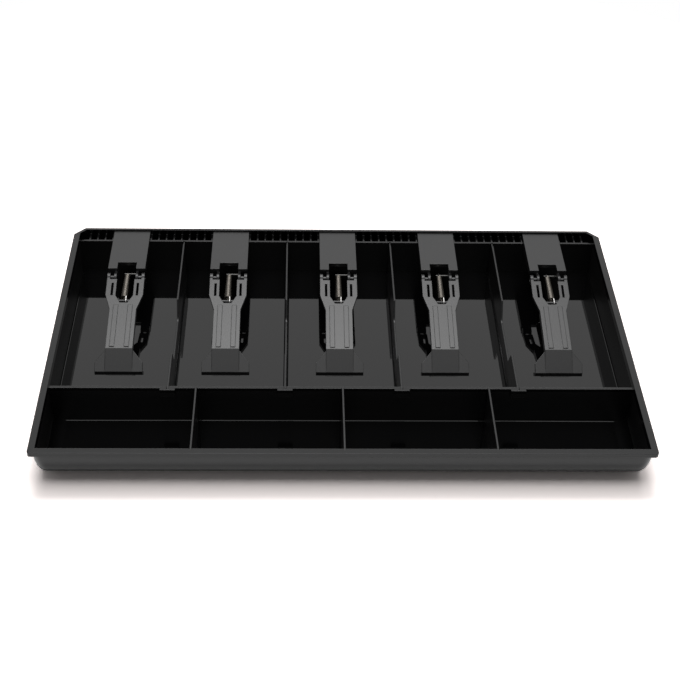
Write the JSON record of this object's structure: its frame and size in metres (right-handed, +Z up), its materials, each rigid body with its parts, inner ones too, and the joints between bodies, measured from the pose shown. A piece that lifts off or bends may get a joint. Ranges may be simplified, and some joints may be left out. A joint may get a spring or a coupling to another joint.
{
  "type": "cash drawer insert",
  "caption": "Shallow black plastic cash tray with bill bays, a scooped coin row, loose dividers and sprung bill clips that swing up on hinges.",
  "frame": {"origin": "middle of the tray's underside, on the surface that it stands on", "axes": "+X along the front to the right, +Y from the front to the rear rail, +Z up"},
  "size_m": [0.405, 0.245, 0.035],
  "materials": {
    "tray_plastic": "moulded black, polished inside",
    "divider_plastic": "moulded black",
    "clip_plastic": "moulded black, fine satin grain",
    "pin_steel": "bright drawn wire",
    "spring_steel": "bright spring wire"
  },
  "bodies": {
    "insert": {"tray": "tray_plastic", "bill_divider_1": "divider_plastic", "bill_divider_2": "divider_plastic", "bill_divider_3": "divider_plastic", "bill_divider_4": "divider_plastic", "coin_divider_1": "divider_plastic", "coin_divider_2": "divider_plastic", "coin_divider_3": "divider_plastic", "clip_base_1": "clip_plastic", "clip_base_2": "clip_plastic", "clip_base_3": "clip_plastic", "clip_base_4": "clip_plastic", "clip_base_5": "clip_plastic", "anchor_pin_1": "pin_steel", "anchor_pin_2": "pin_steel", "anchor_pin_3": "pin_steel", "anchor_pin_4": "pin_steel", "anchor_pin_5": "pin_steel", "clip_spring_1": "spring_steel", "clip_spring_2": "spring_steel", "clip_spring_3": "spring_steel", "clip_spring_4": "spring_steel", "clip_spring_5": "spring_steel"},
    "arm_1": {"clip_arm_1": "clip_plastic"},
    "arm_2": {"clip_arm_2": "clip_plastic"},
    "arm_3": {"clip_arm_3": "clip_plastic"},
    "arm_4": {"clip_arm_4": "clip_plastic"},
    "arm_5": {"clip_arm_5": "clip_plastic"}
  },
  "joints": [
    {"name": "clip_1_hinge", "type": "hinge", "parent": "insert", "child": "arm_1", "pos_m": [-0.15845, 0.06835, 0.0288], "axis": [-1, 0, 0], "range_deg": [0, 110], "stiffness_Nm_per_rad": 0.008, "springref_deg": -34.38, "deforming": ["clip_spring_1"]},
    {"name": "clip_2_hinge", "type": "hinge", "parent": "insert", "child": "arm_2", "pos_m": [-0.0824, 0.06835, 0.0288], "axis": [-1, 0, 0], "range_deg": [0, 110], "stiffness_Nm_per_rad": 0.008, "springref_deg": -34.38, "deforming": ["clip_spring_2"]},
    {"name": "clip_3_hinge", "type": "hinge", "parent": "insert", "child": "arm_3", "pos_m": [-0.0005, 0.06835, 0.0288], "axis": [-1, 0, 0], "range_deg": [0, 110], "stiffness_Nm_per_rad": 0.008, "springref_deg": -34.38, "deforming": ["clip_spring_3"]},
    {"name": "clip_4_hinge", "type": "hinge", "parent": "insert", "child": "arm_4", "pos_m": [0.07555, 0.06835, 0.0288], "axis": [-1, 0, 0], "range_deg": [0, 110], "stiffness_Nm_per_rad": 0.008, "springref_deg": -34.38, "deforming": ["clip_spring_4"]},
    {"name": "clip_5_hinge", "type": "hinge", "parent": "insert", "child": "arm_5", "pos_m": [0.15745, 0.06835, 0.0288], "axis": [-1, 0, 0], "range_deg": [0, 110], "stiffness_Nm_per_rad": 0.008, "springref_deg": -34.38, "deforming": ["clip_spring_5"]}
  ]
}
